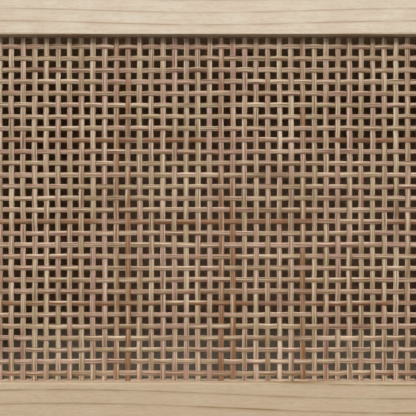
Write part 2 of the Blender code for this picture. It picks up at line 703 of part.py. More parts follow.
PINE = finish("pine", (0.68, 0.57, 0.40), 0.45)
HARDBOARD = finish("hardboard", (0.16, 0.09, 0.05), 0.65)
CANE = finish("cane", (0.46, 0.33, 0.20), 0.5)
BRASS = finish("brass", (0.72, 0.52, 0.24), 0.35, 1.0)
STEEL = finish("steel", (0.55, 0.55, 0.54), 0.4, 1.0)
PLASTIC = finish("brown_plastic", (0.06, 0.04, 0.03), 0.5)
HELPER = finish("helper", (0.5, 0.5, 0.5), 0.5)

build_carcass()
build_grommets()
build_shelf()
build_legs()
build_door(-1, "left")
build_door(1, "right")
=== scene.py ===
"""Looks of a pine TV cabinet with an open niche between two cane doors, dressed over its solids.

Metres, +Z up, the front towards -Y, in the frame of the solids. The sections follow the order of assembly.
"""

import json
import math

import bmesh
import bpy
import numpy as np
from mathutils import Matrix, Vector

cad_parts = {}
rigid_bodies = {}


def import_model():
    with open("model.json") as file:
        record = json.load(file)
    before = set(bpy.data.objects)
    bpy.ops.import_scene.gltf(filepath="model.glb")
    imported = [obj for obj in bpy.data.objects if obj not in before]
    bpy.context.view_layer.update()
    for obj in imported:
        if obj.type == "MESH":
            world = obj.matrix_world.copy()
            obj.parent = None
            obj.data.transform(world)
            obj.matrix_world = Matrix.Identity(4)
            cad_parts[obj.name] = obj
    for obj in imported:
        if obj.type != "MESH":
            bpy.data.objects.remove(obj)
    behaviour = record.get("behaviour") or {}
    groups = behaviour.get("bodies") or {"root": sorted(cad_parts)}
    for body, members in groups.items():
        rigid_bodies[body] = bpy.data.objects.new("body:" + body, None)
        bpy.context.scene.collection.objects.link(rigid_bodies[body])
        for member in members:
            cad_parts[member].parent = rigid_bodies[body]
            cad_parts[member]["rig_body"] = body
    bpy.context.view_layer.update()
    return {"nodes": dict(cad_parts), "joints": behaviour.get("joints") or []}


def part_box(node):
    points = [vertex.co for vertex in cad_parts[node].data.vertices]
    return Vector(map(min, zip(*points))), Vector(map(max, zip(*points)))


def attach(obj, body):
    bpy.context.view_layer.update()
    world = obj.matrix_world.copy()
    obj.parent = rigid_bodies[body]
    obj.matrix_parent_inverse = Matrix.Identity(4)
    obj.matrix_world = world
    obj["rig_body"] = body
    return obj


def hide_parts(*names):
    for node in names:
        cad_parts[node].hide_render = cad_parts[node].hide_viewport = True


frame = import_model()

# Boards of the carcass
# Bottom, sides, dividers and top are panels glued up from pine staves, planed, sanded and lacquered matt.
# Stopped tongues on the uprights are glued into grooves in the bottom and the top.
ALONG_X, ALONG_Y, ALONG_Z = 0, 1, 2
HANDS = (("left", -1), ("right", 1))
SAME_POINT = 1e-5
FLAT_FOLD = math.radians(0.5)
SMOOTH_FOLD = math.radians(35)
ARRIS_FOLDS = (30, 60)
ARRIS_ROUNDING = 0.0004
STAVE_WIDTH = 0.081
STAVE_SEED_STEP = 3.7
STAVE_HEART_DEPTH = 0.02
STAVE_HEART_SPREAD = 0.05
BOARD_DRIFT = 0.016
RING_SPACING = 0.0056
LATE_WOOD = ((0.0, 0.05), (0.6, 0.0), (0.82, 0.22), (0.91, 1.0), (0.96, 0.85), (1.0, 0.05))
BOARD_LINES_LAST = 0.6
STICK_LINES_LAST = 0.45
PINE_TONE = (0.665, 0.555, 0.395)
PALE_PINE_TONE = (0.750, 0.668, 0.545)
DARK_RING = (0.58, 0.45, 0.33)
KNOTS_ALONG, KNOTS_ACROSS = 5.5, 8.0
KNOT_SEED_ALONG, KNOT_SEED_ACROSS = 3.1, 1.7
KNOT_CHANCE = 0.24
KNOT_ROOM = 0.165
KNOT_SWERVE = 0.012
KNOT_BROWN = (0.25, 0.125, 0.05)


def take(piece):
    """Selects one piece alone and makes it the active one."""
    bpy.ops.object.select_all(action="DESELECT")
    piece.select_set(True)
    bpy.context.view_layer.objects.active = piece


def select_edges(piece, wanted):
    """In edit mode, selects the edges that are wanted, and no others."""
    bpy.ops.mesh.select_mode(type="EDGE")
    bpy.ops.mesh.select_all(action="DESELECT")
    mesh = bmesh.from_edit_mesh(piece.data)
    for edge in mesh.edges:
        if wanted(edge):
            edge.select_set(True)
    bmesh.update_edit_mesh(piece.data)


def fold(edge):
    """The angle between the two faces at an edge, in degrees."""
    return math.degrees(edge.calc_face_angle(0.0))


def runs(edge, axis):
    """True for an edge that runs along an axis."""
    way = edge.verts[1].co - edge.verts[0].co
    return abs(way[axis]) > 0.999 * way.length


def smooth(piece):
    """Shades the round stretches smooth and keeps the flat faces flat."""
    take(piece)
    bpy.ops.object.shade_smooth_by_angle(angle=SMOOTH_FOLD)
    modifier = piece.modifiers.new("flat faces", "WEIGHTED_NORMAL")
    modifier.keep_sharp = True
    bpy.ops.object.modifier_apply(modifier=modifier.name)
    return piece


def extent(node):
    """The lowest and highest corners of a solid, and its middle."""
    low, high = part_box(node)
    return low, high, (low + high) / 2


def solid_copy(node, name):
    """A copy of a solid's mesh, merged to whole faces, ready for more work in edit mode."""
    piece = bpy.data.objects.new(name, frame["nodes"][node].data.copy())
    bpy.context.scene.collection.objects.link(piece)
    piece.data.materials.clear()
    take(piece)
    bpy.ops.mesh.customdata_custom_splitnormals_clear()
    bpy.ops.object.mode_set(mode="EDIT")
    bpy.ops.mesh.select_all(action="SELECT")
    bpy.ops.mesh.remove_doubles(threshold=SAME_POINT)
    bpy.ops.mesh.dissolve_limited(angle_limit=FLAT_FOLD)
    bpy.ops.mesh.mark_sharp(clear=True)
    return piece


def dress(piece, finish, nodes=(), body=None):
    """Gives a piece its finish, the solids that it stands for and the body that it rides on."""
    piece.data.materials.clear()
    piece.data.materials.append(finish)
    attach(piece, body or frame["nodes"][nodes[0]]["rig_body"])
    if nodes:
        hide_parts(*nodes)


def planed(node, finish, rounding=ARRIS_ROUNDING):
    """Dresses a solid as a finished board: its own shape, with its arrises rounded over."""
    piece = solid_copy(node, f"{node}_planed")
    least, most = ARRIS_FOLDS
    select_edges(piece, lambda edge: least < fold(edge) < most)
    bpy.ops.mesh.bevel(offset=rounding, segments=2, affect="EDGES", clamp_overlap=False)
    bpy.ops.object.mode_set(mode="OBJECT")
    dress(smooth(piece), finish, [node])


class Wire:
    """A socket of a finish's nodes. Sums of wires and numbers add the Math nodes that they need."""

    def __init__(self, tree, socket=None):
        self.tree = tree
        self.socket = socket

    def node(self, kind, settings=None, sockets=None, output=0):
        """Adds a node: its settings first, then the values or links of its sockets."""
        made = self.tree.nodes.new(f"ShaderNode{kind}")
        for name, value in (settings or {}).items():
            if name == "stops":
                ramp = made.color_ramp.elements
                ramp.remove(ramp[1])
                for position, shade in value[1:]:
                    ramp.new(position).color = (shade, shade, shade, 1.0)
                ramp[0].position = value[0][0]
                ramp[0].color = (value[0][1], value[0][1], value[0][1], 1.0)
            else:
                setattr(made, name, value)
        for name, value in (sockets or {}).items():
            if isinstance(value, Wire):
                self.tree.links.new(value.socket, made.inputs[name])
            else:
                made.inputs[name].default_value = value
        return Wire(self.tree, made.outputs[output]) if made.outputs else None

    def also(self, output):
        """Another output of the same node."""
        return Wire(self.tree, self.socket.node.outputs[output])

    def math(self, operation, *others):
        """A Math node on this wire and others."""
        return self.node("Math", {"operation": operation}, dict(enumerate((self, *others))))

    def ramp(self, *stops):
        """Grey values at positions from 0 to 1, smooth between them."""
        return self.node("ValToRGB", {"stops": stops}, {0: self})

    def colours(self, first, second):
        """A colour between two, by this wire from 0 to 1."""
        return self.node("Mix", {"data_type": "RGBA"}, {0: self, 6: first, 7: second}, output=2)

    def __add__(self, other):
        return self.math("ADD", other)

    def __sub__(self, other):
        return self.math("SUBTRACT", other)

    def __mul__(self, other):
        return self.math("MULTIPLY", other)

    def __truediv__(self, other):
        return self.math("DIVIDE", other)


def begin(name):
    """A new material with no nodes yet, and a wire to add them with."""
    material = bpy.data.materials.new(name)
    material.use_nodes = True
    material.node_tree.nodes.clear()
    return material, Wire(material.node_tree)


def coat(wire, colour, roughness, height=None, strength=0.2, distance=0.0005, **constants):
    """Ends a finish: a Principled shader with colour, roughness, a bump and constants on its own sockets."""
    sockets = {"Base Color": colour, "Roughness": roughness, **constants}
    if height:
        bump = {"Height": height, "Strength": strength, "Distance": distance}
        sockets["Normal"] = wire.node("Bump", {}, bump)
    shader = wire.node("BsdfPrincipled", {}, sockets)
    wire.node("OutputMaterial", {}, {"Surface": shader})


def tint(colour, share):
    """A colour times a number, or times one number for each channel, with its alpha."""
    shares = share if isinstance(share, tuple) else (share,) * 3
    return (*(value * part for value, part in zip(colour, shares)), 1.0)


def grained(wire, place, grain, lengthwise, crosswise, shift=0.0, detail=2.0):
    """Noise drawn out along the grain, with so many features to the metre lengthwise and crosswise."""
    stretch = [crosswise] * 3
    stretch[grain] = lengthwise
    offset = shift if isinstance(shift, Wire) else (shift,) * 3
    moved = wire.node("VectorMath", {"operation": "MULTIPLY_ADD"}, {0: place, 1: stretch, 2: offset})
    return wire.node("TexNoise", {}, {"Vector": moved, "Scale": 1.0, "Detail": detail})


def pine(name, grain, across, heart, ring=RING_SPACING, tone=PINE_TONE, drift=0.004,
         sway=(0.0, 1.0, 0.0), stave=None, seed=0.0, dark_ring=DARK_RING):
    """Pine with its yearly rings about a heart line along the grain, given by its place across and in depth.

    Sway is the height, length and crest of a slow wave in the rings. A glued-up board has staves, and knots.
    """
    material, wire = begin(name)
    place = wire.node("TexCoord", output="Object")
    split = wire.node("SeparateXYZ", {}, {0: place})
    axes = (split, split.also(1), split.also(2))
    along, wide, deep = axes[grain], axes[across], axes[3 - grain - across]
    from_heart = wide - heart[0]
    below_heart = deep - heart[1]
    shift = seed
    if stave:
        number = ((wide + seed) / stave).math("FLOOR")
        chance = wire.node("TexWhiteNoise", {"noise_dimensions": "1D"}, {"W": number + seed}, output="Color")
        chances = wire.node("SeparateColor", {}, {0: chance})
        from_heart = wide + seed - (number + chances) * stave
        below_heart = deep - heart[1] - STAVE_HEART_DEPTH - chances.also(1) * STAVE_HEART_SPREAD
        shift = number * STAVE_SEED_STEP + seed

    def streaks(lengthwise, crosswise, detail=2.0):
        return grained(wire, place, grain, lengthwise, crosswise, shift, detail)

    height, length, crest = sway
    wave = ((along - crest) * (math.tau / length)).math("COSINE") * height
    radius = (from_heart * from_heart + below_heart * below_heart).math("SQRT") + wave
    radius = radius + (streaks(1.4, 7.0) - 0.5) * (2 * drift)
    if stave:
        spot = wire.node("CombineXYZ", {}, {
            0: along * KNOTS_ALONG + seed * KNOT_SEED_ALONG,
            1: wide * KNOTS_ACROSS + seed * KNOT_SEED_ACROSS,
        })
        knot = wire.node("TexVoronoi", {"voronoi_dimensions": "2D"}, {"Vector": spot, "Scale": 1.0})
        luck = wire.node("SeparateColor", {}, {0: knot.also("Color")})
        knot_row = wire.node("SeparateXYZ", {}, {0: knot.also("Position")}).also(1)
        knot_wide = (knot_row - seed * KNOT_SEED_ACROSS) / KNOTS_ACROSS
        inward = (knot_wide - heart[0]).math("ABSOLUTE").math("LESS_THAN", KNOT_ROOM)
        present = luck.math("LESS_THAN", KNOT_CHANCE) * inward
        reach = knot / (luck.also(1) * 0.05 + 0.035)
        swerve = (knot * knot * -28.0).math("EXPONENT") * present
        radius = radius + swerve * KNOT_SWERVE
    turns = radius / ring + (streaks(0.8, 30.0) - 0.5) * 0.7
    late = turns.math("FRACT").ramp(*LATE_WOOD)
    vigour = wire.node("TexWhiteNoise", {"noise_dimensions": "1D"}, {"W": turns.math("FLOOR") + seed})
    lasting = BOARD_LINES_LAST if stave else STICK_LINES_LAST
    late = late * (vigour * 0.4 + 0.65) * streaks(36.0, 70.0).ramp((0.4, lasting), (0.58, 1.0))
    fibre = streaks(30.0, 900.0, 3.0)
    patch = streaks(2.0, 22.0).ramp((0.32, 0.0), (0.68, 1.0))
    blush = streaks(60.0, 140.0).ramp((0.38, 0.0), (0.62, 1.0))
    body = patch.colours(tint(tone, (0.96, 0.95, 0.92)), tint(tone, (1.05, 1.06, 1.08)))
    body = blush.colours(body, tint(tone, (1.0, 0.94, 0.94)))
    body = fibre.ramp((0.38, 0.0), (0.64, 0.32)).colours(body, tint(tone, (0.80, 0.75, 0.67)))
    flecks = streaks(300.0, 1300.0).ramp((0.46, 0.0), (0.7, 0.42))
    body = flecks.colours(body, tint(tone, (0.78, 0.70, 0.60)))
    colour = late.colours(body, tint(tone, dark_ring))
    if stave:
        paler = chances.also(2) * 0.16
        colour = paler.colours(colour, tint(tone, (0.86, 0.80, 0.70)))
        inside = reach.ramp((0.0, 1.0), (0.86, 0.8), (0.93, 1.0), (1.0, 0.0)) * present
        core = reach.ramp((0.0, 0.2), (0.7, 0.75), (0.9, 0.0))
        core = core.colours(tint(KNOT_BROWN, 0.7), tint(KNOT_BROWN, 1.9))
        colour = (swerve * 0.35).colours(colour, tint(tone, (0.80, 0.66, 0.48)))
        colour = inside.colours(colour, core)
    facing = wire.node("SeparateXYZ", {}, {0: place.also("Normal")}).also(grain).math("ABSOLUTE")
    colour = facing.ramp((0.6, 0.0), (0.95, 0.45)).colours(colour, tint(tone, (0.72, 0.62, 0.48)))
    relief = fibre * 0.5 - late * 0.35
    coat(wire, colour, fibre * 0.14 + 0.50, relief, strength=0.16, distance=0.0004)
    return material


for seed, (node, grain, across, tone) in enumerate((
    ("bottom_panel", ALONG_X, ALONG_Y, PALE_PINE_TONE),
    ("left_side_panel", ALONG_Z, ALONG_Y, PINE_TONE),
    ("right_side_panel", ALONG_Z, ALONG_Y, PINE_TONE),
    ("left_divider", ALONG_Z, ALONG_Y, PINE_TONE),
    ("right_divider", ALONG_Z, ALONG_Y, PINE_TONE),
    ("top_panel", ALONG_X, ALONG_Y, PINE_TONE),
)):
    middle = extent(node)[2]
    heart = (middle[across], middle[3 - grain - across])
    planed(node, pine(
        f"{node}_pine", grain, across, heart,
        tone=tone, drift=BOARD_DRIFT, stave=STAVE_WIDTH, seed=1.3 + 0.37 * seed,
    ))

# Back panel
# One sheet of brown hardboard, slid into grooves all round before the top goes on.
# Its face is smooth; its back keeps the print of the wire screen that it was pressed on.
HARDBOARD_BROWN = (0.448, 0.288, 0.188)
SCREEN_PITCH = 0.0016


def hardboard():
    """Pressed brown fibre, darker behind, where the screen's print shows."""
    material, wire = begin("hardboard_sheet")
    place = wire.node("TexCoord", output="Object")
    split = wire.node("SeparateXYZ", {}, {0: place})
    behind = split.also(1).math("GREATER_THAN", extent("back_panel")[2].y)
    fluff = wire.node("TexNoise", {}, {"Vector": place, "Scale": 700.0, "Detail": 4.0})
    cloud = wire.node("TexNoise", {}, {"Vector": place, "Scale": 9.0, "Detail": 3.0})
    colour = cloud.colours(tint(HARDBOARD_BROWN, 0.86), tint(HARDBOARD_BROWN, 1.12))
    colour = fluff.ramp((0.4, 0.0), (0.75, 0.5)).colours(colour, tint(HARDBOARD_BROWN, (1.6, 1.55, 1.5)))
    level = (split * (math.tau / SCREEN_PITCH)).math("SINE")
    upright = (split.also(2) * (math.tau / SCREEN_PITCH)).math("SINE")
    screen = level * upright * behind
    colour = (behind * (screen * 0.2 + 0.6)).colours(colour, tint(HARDBOARD_BROWN, (0.56, 0.5, 0.44)))
    coat(wire, colour, fluff * 0.2 + 0.5, screen * 0.6 + fluff * 0.4, strength=0.35, distance=0.0004)
    return material


sheet = frame["nodes"]["back_panel"].data
sheet.materials.clear()
sheet.materials.append(hardboard())

# Cable grommets
# Two bushes of moulded brown plastic, pushed from behind into the holes of the back panel.
# A rounded flange rests on the panel's back, and the sleeve lines the hole.
PLASTIC_BROWN = (0.058, 0.040, 0.029)
GROMMET_WALL = 0.004
GROMMET_FLANGE = 0.006
GROMMET_EASING = 0.0006
GROMMET_SIDES = 64
EASED_FOLD = math.radians(30)


def turned(name, profile, place, axis=(0, 0, 1), sides=48, ring=False):
    """A piece from the lathe: a disc drawn out to each (radius, height) in turn, then set along its axis.

    A ring starts from an open circle, and its last point is its first.
    """
    (radius, height), *others = profile
    bpy.ops.object.select_all(action="DESELECT")
    bpy.ops.mesh.primitive_circle_add(
        vertices=sides, radius=radius, location=(0, 0, height), fill_type="NOTHING" if ring else "NGON"
    )
    piece = bpy.context.object
    piece.name = piece.data.name = name
    bpy.ops.object.mode_set(mode="EDIT")
    for next_radius, next_height in others:
        bpy.ops.mesh.extrude_region_move(TRANSFORM_OT_translate={"value": (0, 0, next_height - height)})
        share = next_radius / radius
        bpy.ops.transform.resize(value=(share, share, 1.0), center_override=(0, 0, 0))
        radius, height = next_radius, next_height
    bpy.ops.mesh.select_all(action="SELECT")
    bpy.ops.mesh.remove_doubles(threshold=SAME_POINT)
    bpy.ops.mesh.normals_make_consistent(inside=False)
    bpy.ops.object.mode_set(mode="OBJECT")
    bpy.ops.object.transform_apply(location=True, rotation=True, scale=True)
    piece.rotation_euler = Vector((0, 0, 1)).rotation_difference(Vector(axis)).to_euler()
    piece.location = place
    bpy.ops.object.transform_apply(location=True, rotation=True, scale=True)
    return piece


def eased(piece, width, segments=2):
    """Rounds every sharp edge of a piece with an applied Bevel, then shades it."""
    take(piece)
    modifier = piece.modifiers.new("easing", "BEVEL")
    modifier.width = width
    modifier.segments = segments
    modifier.limit_method = "ANGLE"
    modifier.angle_limit = EASED_FOLD
    bpy.ops.object.modifier_apply(modifier=modifier.name)
    return smooth(piece)


def moulded_plastic():
    """Brown plastic with a fine matt texture from the mould."""
    material, wire = begin("moulded_brown_plastic")
    place = wire.node("TexCoord", output="Object")
    spark = wire.node("TexNoise", {}, {"Vector": place, "Scale": 2600.0, "Detail": 1.0})
    cloud = wire.node("TexNoise", {}, {"Vector": place, "Scale": 60.0, "Detail": 2.0})
    colour = cloud.colours(tint(PLASTIC_BROWN, 0.8), tint(PLASTIC_BROWN, 1.25))
    coat(wire, colour, cloud * 0.14 + 0.40, spark, strength=0.18, distance=0.0002)
    return material


plastic = moulded_plastic()
for level in ("lower", "upper"):
    node = f"{level}_cable_grommet"
    low, high, middle = extent(node)
    flange = (high.z - low.z) / 2
    sleeve = flange - GROMMET_FLANGE
    bore = sleeve - GROMMET_WALL
    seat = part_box("back_panel")[1].y - low.y
    deep = high.y - low.y
    profile = [
        (bore, 0.0),
        (sleeve, 0.0),
        (sleeve, seat),
        (flange, seat),
        (flange - GROMMET_EASING, deep),
        (bore, deep),
        (bore, 0.0),
    ]
    place = (middle.x, low.y, middle.z)
    grommet = turned(f"{node}_moulded", profile, place, (0, 1, 0), GROMMET_SIDES, ring=True)
    dress(eased(grommet, GROMMET_EASING, 3), plastic, [node])

# Leg plates
# Four pressed steel plates with round corners, zinc plated, each with a stud for its leg.
# Four pan-head screws hold each plate up against the bottom panel.
ZINC = (0.56, 0.56, 0.545)
PLATE_THICKNESS = 0.003
PLATE_CORNER = 0.007
PLATE_EASING = 0.0004
PLATE_SCREW_SPACING = 0.048
PLATE_SCREW_HEAD = 0.0036
PLATE_SCREW_SHANK = 0.0019
PLATE_SCREW_LENGTH = 0.014
STUD_RADIUS = 0.004
STUD_ROOT = 0.001
SLOT_WIDTH_SHARE = 0.22


def blank(name, low, high):
    """A square blank between two corners, to be worked further."""
    low, high = Vector(low), Vector(high)
    bpy.ops.object.select_all(action="DESELECT")
    bpy.ops.mesh.primitive_cube_add(size=1.0, location=(low + high) / 2, scale=high - low)
    bpy.ops.object.transform_apply(location=True, rotation=True, scale=True)
    piece = bpy.context.object
    piece.name = piece.data.name = name
    return piece


def round_corners(piece, axis, radius, segments=5, wanted=lambda edge: True):
    """Rounds the corners of a plate: its wanted edges along an axis."""
    take(piece)
    bpy.ops.object.mode_set(mode="EDIT")
    select_edges(piece, lambda edge: runs(edge, axis) and wanted(edge))
    bpy.ops.mesh.bevel(offset=radius, segments=segments, affect="EDGES", clamp_overlap=False)
    bpy.ops.object.mode_set(mode="OBJECT")
    return piece


def combine(piece, operation, tool):
    """Cuts a tool's shape out of a piece, or joins it on, and takes the tool away."""
    take(piece)
    modifier = piece.modifiers.new("joint", "BOOLEAN")
    modifier.operation = operation
    modifier.object = tool
    bpy.ops.object.modifier_apply(modifier=modifier.name)
    bpy.data.objects.remove(tool)
    return piece


def cross_slot(piece, middle, axis, reach, depth):
    """Cuts a cross slot into a screw's head, whose top is at middle on an axis."""
    for across in {0, 1, 2} - {axis}:
        half = Vector((reach * SLOT_WIDTH_SHARE,) * 3)
        half[across] = reach
        half[axis] = depth
        combine(piece, "DIFFERENCE", blank("driver_tip", middle - half, middle + half))
    return piece


def pan_screw(name, head, shank, length):
    """A pan-head screw along +Z with the underside of its head at the origin."""
    rise = head * 0.55
    profile = [
        (shank * 0.3, -length),
        (shank, -length + 2.5 * shank),
        (shank, 0.0),
        (head, 0.0),
        (head, rise * 0.35),
        (head * 0.86, rise * 0.75),
        (head * 0.55, rise),
    ]
    piece = turned(name, profile, (0, 0, 0), sides=20)
    return smooth(cross_slot(piece, Vector((0, 0, rise)), ALONG_Z, head * 0.55, rise * 0.55))


def driven(name, model, places, way):
    """Copies of a screw, driven at their places against the way that they point, as one set."""
    copies = []
    for place in places:
        screw = bpy.data.objects.new(name, model.data.copy())
        bpy.context.scene.collection.objects.link(screw)
        screw.rotation_euler = Vector((0, 0, 1)).rotation_difference(Vector(way)).to_euler()
        screw.location = place
        copies.append(screw)
    take(copies[0])
    for screw in copies:
        screw.select_set(True)
    bpy.ops.object.transform_apply(location=True, rotation=True, scale=True)
    if len(copies) > 1:
        bpy.ops.object.join()
    copies[0].name = copies[0].data.name = name
    return copies[0]


def metal(name, tone, low_rough, high_rough, streak):
    """Plain or plated metal, brushed along an axis."""
    material, wire = begin(name)
    place = wire.node("TexCoord", output="Object")
    brushed = grained(wire, place, streak, 60.0, 2400.0)
    cloud = wire.node("TexNoise", {}, {"Vector": place, "Scale": 90.0, "Detail": 3.0})
    colour = cloud.colours(tint(tone, 0.86), tint(tone, 1.08))
    roughness = brushed * (high_rough - low_rough) + cloud * 0.1 + (low_rough - 0.05)
    coat(wire, colour, roughness, brushed, strength=0.08, distance=0.0001, Metallic=1.0)
    return material


zinc = metal("zinc_plated_steel", ZINC, 0.26, 0.44, ALONG_X)
plate_screw = pan_screw("plate_screw_model", PLATE_SCREW_HEAD, PLATE_SCREW_SHANK, PLATE_SCREW_LENGTH)
for hand in ("left", "right"):
    for end in ("front", "rear"):
        node = f"{hand}_{end}_leg_plate"
        low, high, middle = extent(node)
        under = high.z - PLATE_THICKNESS
        plate = blank(f"{node}_pressed", (low.x, low.y, under), high)
        round_corners(plate, ALONG_Z, PLATE_CORNER)
        stud = turned("stud", [
            (STUD_RADIUS * 0.8, low.z),
            (STUD_RADIUS, low.z + STUD_RADIUS * 0.3),
            (STUD_RADIUS, high.z - STUD_ROOT),
        ], (middle.x, middle.y, 0.0), sides=24)
        combine(plate, "UNION", stud)
        dress(eased(plate, PLATE_EASING), zinc, [node])
        half = PLATE_SCREW_SPACING / 2
        spots = [(middle.x + i * half, middle.y + j * half, under) for i in (-1, 1) for j in (-1, 1)]
        screws = driven(f"{node}_screws", plate_screw, spots, (0, 0, -1))
        dress(screws, zinc, body="cabinet")

# Legs
# Four legs turned from pine, with a short straight collar and a taper, bored in the top for the stud.
# A round glide of brown plastic is nailed under each foot.
LEG_FOOT_RADIUS = 0.014
LEG_COLLAR = 0.012
LEG_TOP_EASING = 0.0012
LEG_FOOT_EASING = 0.0025
LEG_FOOT_GAIN = 0.0003
LEG_FOOT_CHAMFER = 0.0016
LEG_BORE_CLEARANCE = 0.0006
LEG_BORE_GAP = 0.0003
LEG_EASING = 0.0005
LEG_HEART_DISTANCE = 0.021
LEG_RING = 0.0046
LEG_DRIFT = 0.003
GLIDE_RADIUS = 0.0105
GLIDE_THICKNESS = 0.003
GLIDE_CHAMFER = 0.001
GLIDE_EASING = 0.0004
LEG_CORNERS = (("left", "front"), ("left", "rear"), ("right", "front"), ("right", "rear"))

for seed, (hand, end) in enumerate(LEG_CORNERS):
    node = f"{hand}_{end}_leg"
    low, high, middle = extent(node)
    top_radius = (high.x - low.x) / 2
    bore = STUD_RADIUS + LEG_BORE_CLEARANCE
    bore_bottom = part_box(f"{node}_plate")[0].z - LEG_BORE_GAP
    profile = [
        (bore, bore_bottom),
        (bore, high.z),
        (top_radius - LEG_TOP_EASING, high.z),
        (top_radius, high.z - LEG_TOP_EASING),
        (top_radius, high.z - LEG_COLLAR),
        (LEG_FOOT_RADIUS + LEG_FOOT_GAIN, GLIDE_THICKNESS + LEG_FOOT_EASING),
        (LEG_FOOT_RADIUS - LEG_FOOT_CHAMFER, GLIDE_THICKNESS),
    ]
    leg = turned(f"{node}_turned", profile, (middle.x, middle.y, 0.0), sides=64)
    turn = 1.1 + 1.7 * seed
    heart = (
        middle.x + LEG_HEART_DISTANCE * math.cos(turn),
        middle.y + LEG_HEART_DISTANCE * math.sin(turn),
    )
    finish = pine(f"{node}_pine", ALONG_Z, ALONG_X, heart, ring=LEG_RING, drift=LEG_DRIFT, seed=5.1 + seed)
    dress(eased(leg, LEG_EASING), finish, [node])
    profile = [
        (GLIDE_RADIUS - GLIDE_CHAMFER, 0.0),
        (GLIDE_RADIUS, GLIDE_CHAMFER),
        (GLIDE_RADIUS, GLIDE_THICKNESS),
    ]
    glide = turned(f"{hand}_{end}_glide", profile, (middle.x, middle.y, 0.0))
    dress(eased(glide, GLIDE_EASING), plastic, body="cabinet")

# Shelf of the niche
# A glued-up pine shelf, set back from the front, that rests on four zinc-plated pins.
# Each pin is pushed into a hole in a divider up to its collar.
PIN_RADIUS = 0.0025
PIN_DEPTH = 0.009
PIN_SEAT_GAP = 0.0003
PIN_CHAMFER = 0.0008
PIN_EASING = 0.0003
SHELF_DRIFT = 0.012

for hand, side in HANDS:
    for end in ("front", "rear"):
        node = f"{hand}_{end}_shelf_pin"
        low, high, middle = extent(node)
        peg = (high.z - low.z) / 2
        length = high.x - low.x
        collar = length - PIN_DEPTH - PIN_SEAT_GAP
        profile = [
            (peg * 0.75, 0.0),
            (peg, PIN_CHAMFER),
            (peg, collar),
            (PIN_RADIUS, collar),
            (PIN_RADIUS, length - PIN_CHAMFER),
            (PIN_RADIUS * 0.6, length),
        ]
        start = low.x if side > 0 else high.x
        pin = turned(f"{node}_turned", profile, (start, middle.y, middle.z), (side, 0, 0), sides=32)
        dress(eased(pin, PIN_EASING), zinc, [node])

heart = (0.0, extent("media_shelf")[2].z)
finish = pine("media_shelf_pine", ALONG_X, ALONG_Y, heart, drift=SHELF_DRIFT, stave=STAVE_WIDTH, seed=4.4)
planed("media_shelf", finish)

# Door frames
# Two stiles and two rails of pine to a door, with stub tenons glued into mortises and a rebate behind.
# The rails are cut with the yearly rings on edge, so that their face shows long, nearly straight lines.
FRAME_ROUNDING = 0.0001
RINGS_TO_HEART = 41.93
TOP_RAIL_TONE = (0.730, 0.638, 0.508)
# The bottom rail is darker and browner than the top rail: partly a darker board of its own, partly painted
# shade for light that falls off downwards.
BOTTOM_RAIL_TONE_AND_SHADE = (0.634, 0.507, 0.359)
TOP_RAIL_RING = 0.00676
BOTTOM_RAIL_RING = 0.0082
TOP_RAIL_LINE = 0.0133
BOTTOM_RAIL_LINE = 0.0063
TOP_RAIL_SWAY = (0.0011, 0.230)
BOTTOM_RAIL_SWAY = (-0.00275, 0.372)
VIEW_X = -0.516
BOTTOM_RAIL_CREST = VIEW_X - 0.081
TOP_RAIL_DARK_RING = (0.62, 0.47, 0.37)
BOTTOM_RAIL_DARK_RING = (0.45, 0.36, 0.18)
RAIL_DRIFT = 0.0014
STILE_RING = 0.0060
STILE_DRIFT = 0.003
STILE_HEART_ASIDE = 0.19
STILE_HEART_DEPTH = 0.04
STILE_SWAY = (0.0015, 0.41)
STILE_CREST_RISE = 0.1

for seed, (hand, side) in enumerate(HANDS):
    rails = (
        ("top_rail", TOP_RAIL_TONE, TOP_RAIL_RING, TOP_RAIL_LINE,
         (*TOP_RAIL_SWAY, -side * VIEW_X), TOP_RAIL_DARK_RING),
        # The bottom rail's tone carries painted shade as well as its own darker wood.
        ("bottom_rail", BOTTOM_RAIL_TONE_AND_SHADE, BOTTOM_RAIL_RING, -BOTTOM_RAIL_LINE,
         (*BOTTOM_RAIL_SWAY, -side * BOTTOM_RAIL_CREST), BOTTOM_RAIL_DARK_RING),
    )
    for rail, tone, ring, line, sway, dark_ring in rails:
        node = f"{hand}_door_{rail}"
        low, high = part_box(node)
        edge = low.z if line > 0 else high.z
        heart = (edge + line - ring * RINGS_TO_HEART, low.y)
        finish = pine(
            f"{node}_pine", ALONG_X, ALONG_Z, heart, ring, tone, RAIL_DRIFT, sway,
            seed=2.2 + seed, dark_ring=dark_ring,
        )
        planed(node, finish, FRAME_ROUNDING)
    for stile, lean in (("hinge_stile", -1), ("lock_stile", 1)):
        node = f"{hand}_door_{stile}"
        low, _, middle = extent(node)
        heart = (middle.x + side * lean * STILE_HEART_ASIDE, low.y + STILE_HEART_DEPTH)
        sway = (*STILE_SWAY, low.z + STILE_CREST_RISE)
        finish = pine(
            f"{node}_pine", ALONG_Z, ALONG_X, heart, STILE_RING, PINE_TONE, STILE_DRIFT, sway,
            seed=7.7 + seed + lean,
        )
        planed(node, finish, FRAME_ROUNDING)

# Cane
# Open weave of split rattan core, one over and one under, cut from the roll and laid in the rebate.
# Upright and level strands are separate lengths, each with its own tone and a slight wander.
CANE_PITCH = 0.00653
UPRIGHT_WIDTH = 0.00285
LEVEL_WIDTH = 0.00268
STRAND_THICKNESS = 0.0011
UPRIGHT_RISE = 0.00026
LEVEL_RISE = 0.00050
UPRIGHT_CROWN = 0.45
LEVEL_CROWN = 0.85
CUTS_ACROSS = 3
RINGS_IN_A_PITCH = 4
FIRST_UPRIGHT_X = VIEW_X + 0.00086
FIRST_LEVEL_Z = 0.31143
WANDER = ((0.130, 0.00014), (0.043, 0.00006))
BROWN_UPRIGHTS = (-8, -7, 1, 2, 8)
BROWN_LEVELS = (6, -1, -8)
PUSHED_LEVEL = -15
PUSH = 0.0014
KHAKI_CANE = (0.432, 0.338, 0.180)
PINK_CANE = (0.458, 0.266, 0.204)
PALE_CANE = (0.810, 0.632, 0.460)
